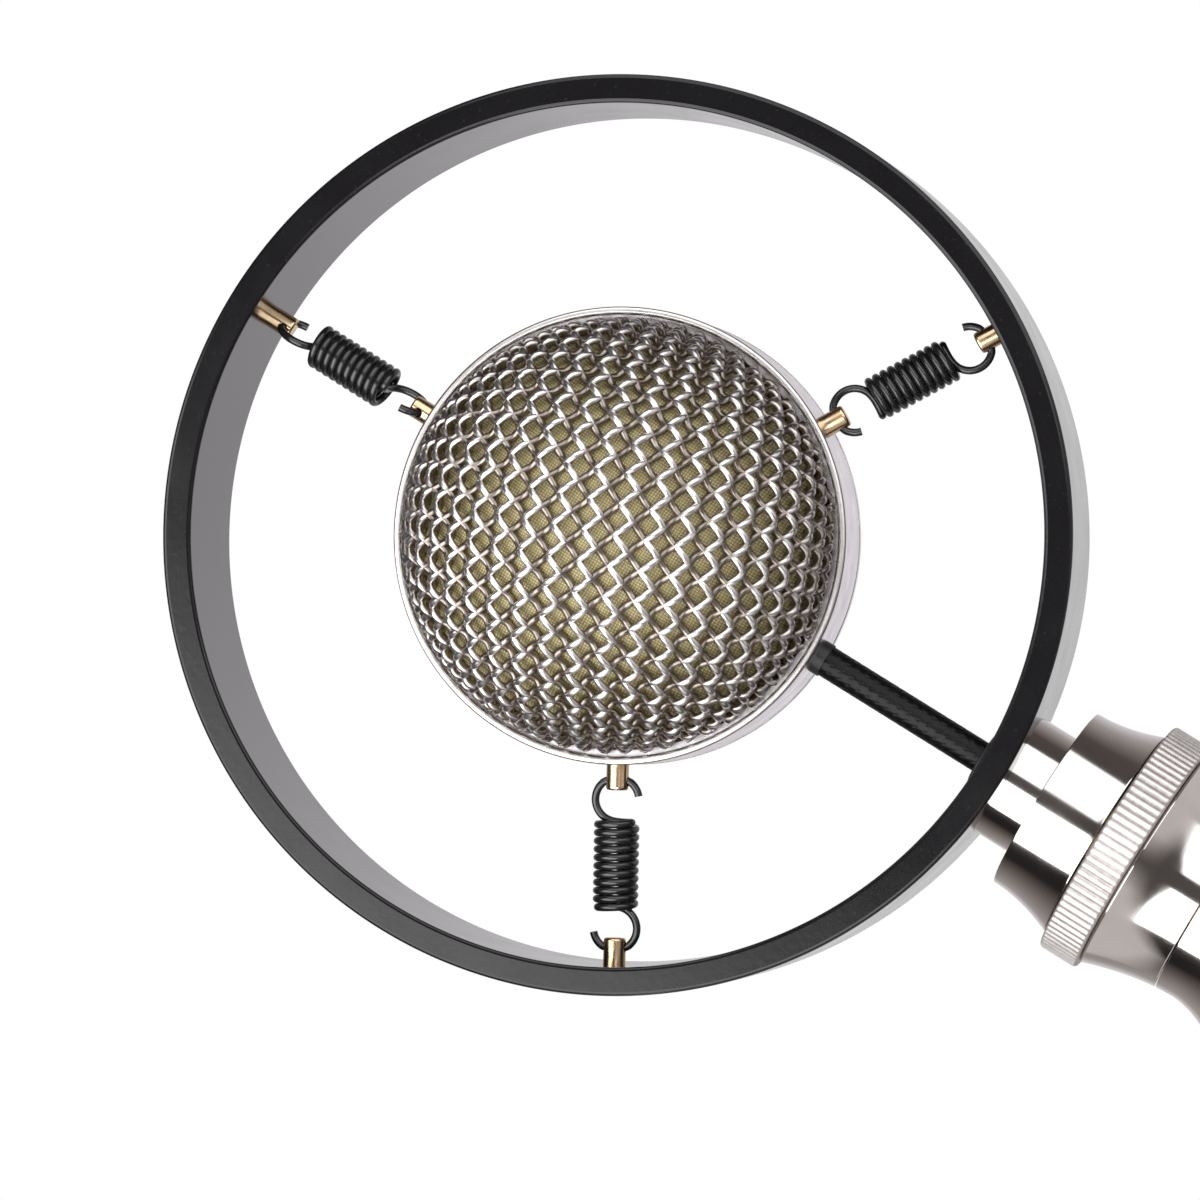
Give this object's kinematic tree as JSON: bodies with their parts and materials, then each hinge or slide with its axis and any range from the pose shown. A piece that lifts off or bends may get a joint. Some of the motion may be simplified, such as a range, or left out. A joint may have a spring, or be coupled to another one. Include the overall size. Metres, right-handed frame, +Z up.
{
  "type": "condenser microphone",
  "caption": "Condenser microphone: a ball head hung on springs inside a ring, on a tubular body that tilts on a forked stand mount.",
  "frame": {"origin": "seat inside the stand mount, where the end of the stand's stud comes to rest", "axes": "+Z up along the body, -Y the way the head faces, +X to the right of someone looking at its front"},
  "size_m": [0.1016, 0.0761, 0.2648],
  "materials": {
    "black_steel": "satin black enamel on steel, thin bright edge where the paint is worn",
    "nickel": "polished nickel plate on turned brass",
    "band_metal": "fine satin bright metal with a polished rim",
    "woven_steel": "bright woven steel wire",
    "fine_brass": "fine olive-gold woven screen, dull",
    "brass": "plain turned brass, slightly tarnished",
    "spring_steel": "black oxide spring wire, semi-gloss",
    "cable_braid": "black woven sleeve over a screened cable",
    "black_plastic": "black moulded plastic",
    "gold_film": "gold-sputtered polyester film",
    "board_green": "green solder mask",
    "grey_can": "plain grey steel",
    "capacitor_red": "dipped film capacitor",
    "washer_fibre": "dark fibre washer"
  },
  "bodies": {
    "stand_mount": {"stand_fork": "nickel", "thread_bush": "brass", "tilt_bolt": "grey_can", "friction_washer_left": "washer_fibre", "friction_washer_right": "washer_fibre"},
    "knob": {"tilt_knob": "black_plastic"},
    "mic_body": {"body_tube": "nickel", "tilt_lug": "nickel", "lug_screw_upper": "grey_can", "lug_screw_lower": "grey_can", "body_bell": "nickel", "neck_bell": "nickel", "bottom_cap": "nickel", "cap_screw": "grey_can", "xlr_shell": "grey_can", "xlr_insert": "black_plastic", "xlr_pin_1": "brass", "xlr_pin_2": "brass", "xlr_pin_3": "brass", "circuit_board": "board_green", "board_bracket": "grey_can", "board_connector": "black_plastic", "transformer": "grey_can", "coupling_capacitor": "capacitor_red"},
    "nut": {"lock_nut": "nickel"},
    "ring_frame": {"ring": "black_steel", "ring_grommet": "black_plastic", "neck_nipple": "nickel", "neck_adaptor": "nickel", "swivel_spigot": "brass", "retaining_clip": "grey_can", "ring_pin_top": "brass", "ring_pin_right": "brass", "ring_pin_left": "brass", "pin_screw_top": "black_steel", "pin_screw_right": "black_steel", "pin_screw_left": "black_steel", "signal_cable": "cable_braid", "spring_top": "spring_steel", "spring_right": "spring_steel", "spring_left": "spring_steel"},
    "floating_head": {"head_band": "band_metal", "front_bezel": "band_metal", "rear_bezel": "band_metal", "front_grille": "woven_steel", "rear_grille": "woven_steel", "front_screen": "fine_brass", "rear_screen": "fine_brass", "capsule_backplate": "brass", "front_clamp_ring": "brass", "rear_clamp_ring": "brass", "front_diaphragm": "gold_film", "rear_diaphragm": "gold_film", "capsule_arm_left": "black_plastic", "capsule_arm_right": "black_plastic", "cable_gland": "black_plastic", "head_pin_top": "brass", "head_pin_right": "brass", "head_pin_left": "brass"}
  },
  "joints": [
    {"name": "knob_turn", "type": "hinge", "parent": "stand_mount", "child": "knob", "pos_m": [0.017, 0, 0.028], "axis": [1, 0, 0], "range_deg": [0, 360]},
    {"name": "body_tilt", "type": "hinge", "parent": "stand_mount", "child": "mic_body", "pos_m": [0, 0, 0.028], "axis": [1, 0, 0], "range_deg": [-90, 30]},
    {"name": "nut_turn", "type": "hinge", "parent": "mic_body", "child": "nut", "pos_m": [0, -0.034, 0.1346], "axis": [0, 0, 1], "range_deg": [0, 270]},
    {"name": "ring_swivel", "type": "hinge", "parent": "mic_body", "child": "ring_frame", "pos_m": [0, -0.034, 0.13], "axis": [0, 0, 1], "range_deg": [-175, 175]},
    {"name": "head_float", "type": "slide", "parent": "ring_frame", "child": "floating_head", "axis": [0, -1, 0], "range_m": [-0.0025, 0.0025], "stiffness_N_per_m": 1000, "deforming": ["signal_cable", "spring_top", "spring_right", "spring_left"]}
  ]
}
